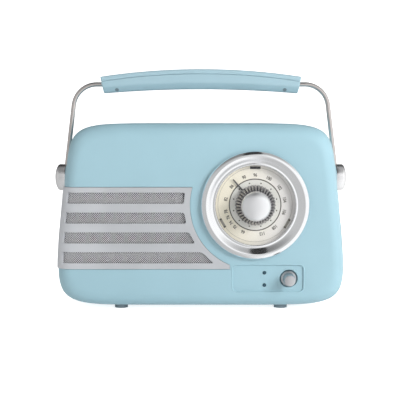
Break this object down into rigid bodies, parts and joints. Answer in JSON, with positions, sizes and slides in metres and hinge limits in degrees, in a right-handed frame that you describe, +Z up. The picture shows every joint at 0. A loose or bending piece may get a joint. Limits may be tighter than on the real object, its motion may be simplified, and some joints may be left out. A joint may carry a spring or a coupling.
{
  "type": "portable radio with carrying handle",
  "caption": "Portable radio with a rounded cabinet, slotted speaker grille, round dial with tuning knob, small volume knob and fold-down carrying handle.",
  "frame": {"origin": "bottom centre of the whole radio's bounding box, on the resting plane; the tuning knob stands out further in front than the antenna does behind, so the middle of the cabinet lies 6.75 mm behind the origin", "axes": "+Z up, the front with grille and dial faces -Y, +X to the right as seen from the front"},
  "size_m": [0.3164, 0.1344, 0.2537],
  "materials": {
    "blue_plastic": "satin moulded plastic",
    "silver_paint": "brushed silver paint",
    "mesh_metal": "woven, grey",
    "chrome": "polished",
    "satin_metal": "satin turned",
    "cream_card": "matt printed",
    "clear": "clear moulded lens",
    "black_plastic": "matt",
    "natural_plastic": "matt",
    "brass": "turned",
    "steel": "zinc plated",
    "ferrite": "sintered",
    "board_resin": "phenolic board",
    "cone_paper": "pressed fibre",
    "surround_rubber": "soft",
    "foot_rubber": "matt",
    "copper_wire": "enamelled winding",
    "cell_wrap": "printed sleeve left plain",
    "lamp": "smoked",
    "fibre_washer": "pressed fibre",
    "cable_red": "insulation",
    "ink": "dark enamel"
  },
  "bodies": {
    "cabinet": {"front_shell": "blue_plastic", "rear_shell": "blue_plastic", "grille_frame": "silver_paint", "grille_mesh": "mesh_metal", "dial_bezel": "chrome", "dial_plate": "cream_card", "dial_lens": "clear", "shaft_bush": "brass", "speaker_basket": "black_plastic", "speaker_magnet": "steel", "speaker_surround": "surround_rubber", "speaker_screws": "steel", "main_board": "board_resin", "board_components": "black_plastic", "board_screws": "steel", "tuning_gang": "natural_plastic", "volume_pot": "steel", "indicator_lamps": "lamp", "ferrite_rod": "ferrite", "ferrite_coil": "copper_wire", "ferrite_clips": "natural_plastic", "battery_box": "black_plastic", "batteries": "cell_wrap", "battery_springs": "steel", "battery_contacts": "steel", "cabinet_screws": "steel", "feet": "foot_rubber", "pivot_bushes": "brass", "pivot_bolts": "steel", "pivot_nuts": "steel", "friction_washers": "fibre_washer", "headphone_jack": "steel", "dc_jack": "black_plastic", "band_switch_body": "steel", "antenna_socket": "brass", "cables": "cable_red"},
    "handle": {"handle_arm_left": "chrome", "handle_arm_right": "chrome", "handle_hub_left": "chrome", "handle_hub_right": "chrome", "grip_base": "blue_plastic", "grip_cap": "blue_plastic", "grip_screws": "steel"},
    "tuning_knob": {"knob_skirt": "chrome", "knob_cap": "satin_metal", "tuning_shaft": "steel", "pointer_needle": "ink", "drive_gear": "brass"},
    "gang_rotor": {"gang_gear": "natural_plastic", "gang_spindle": "steel"},
    "volume_control": {"volume_knob": "chrome", "volume_spindle": "steel"},
    "cone": {"speaker_cone": "cone_paper"},
    "antenna_base": {"antenna_swivel": "chrome"},
    "antenna_outer": {"antenna_tube_1": "chrome"},
    "antenna_second": {"antenna_tube_2": "chrome"},
    "antenna_third": {"antenna_tube_3": "chrome"},
    "antenna_rod": {"antenna_tip": "chrome"},
    "door": {"battery_door": "blue_plastic"},
    "band_selector": {"band_switch_slider": "black_plastic"}
  },
  "joints": [
    {"name": "handle_fold", "type": "hinge", "parent": "cabinet", "child": "handle", "pos_m": [0, 0.00675, 0.1373], "axis": [-1, 0, 0], "range_deg": [-35, 100]},
    {"name": "tuning_turn", "type": "hinge", "parent": "cabinet", "child": "tuning_knob", "pos_m": [0.0566, -0.05325, 0.1111], "axis": [0, 1, 0], "range_deg": [-94, 176]},
    {"name": "gang_turn", "type": "hinge", "parent": "cabinet", "child": "gang_rotor", "pos_m": [0.0566, -0.02725, 0.0931], "axis": [0, 1, 0], "range_deg": [-117.4, 62.7]},
    {"name": "volume_turn", "type": "hinge", "parent": "cabinet", "child": "volume_control", "pos_m": [0.0919, -0.05325, 0.0339], "axis": [0, 1, 0], "range_deg": [0, 300]},
    {"name": "cone_travel", "type": "slide", "parent": "cabinet", "child": "cone", "axis": [0, -1, 0], "range_m": [-0.0008, 0.0008], "deforming": ["speaker_surround"]},
    {"name": "antenna_swing", "type": "hinge", "parent": "cabinet", "child": "antenna_base", "pos_m": [0.112, 0.05875, 0.172], "axis": [0, 1, 0], "range_deg": [0, 180]},
    {"name": "antenna_tilt", "type": "hinge", "parent": "antenna_base", "child": "antenna_outer", "pos_m": [0.104, 0.06325, 0.172], "axis": [0, 0, -1], "range_deg": [0, 90]},
    {"name": "antenna_extend", "type": "slide", "parent": "antenna_outer", "child": "antenna_second", "axis": [-1, 0, 0], "range_m": [0, 0.18]},
    {"name": "antenna_extend_3", "type": "slide", "parent": "antenna_second", "child": "antenna_third", "axis": [-1, 0, 0], "range_m": [0, 0.18]},
    {"name": "antenna_extend_4", "type": "slide", "parent": "antenna_third", "child": "antenna_rod", "axis": [-1, 0, 0], "range_m": [0, 0.18]},
    {"name": "door_lift_off", "type": "slide", "parent": "cabinet", "child": "door", "axis": [0, 1, 0], "range_m": [0, 0.05]},
    {"name": "band_select", "type": "slide", "parent": "cabinet", "child": "band_selector", "axis": [1, 0, 0], "range_m": [0, 0.006]}
  ],
  "couplings": [
    {"joint": "gang_turn", "follows": "tuning_turn", "ratio": -0.66667},
    {"joint": "antenna_extend_3", "follows": "antenna_extend", "ratio": 1},
    {"joint": "antenna_extend_4", "follows": "antenna_extend", "ratio": 1}
  ]
}
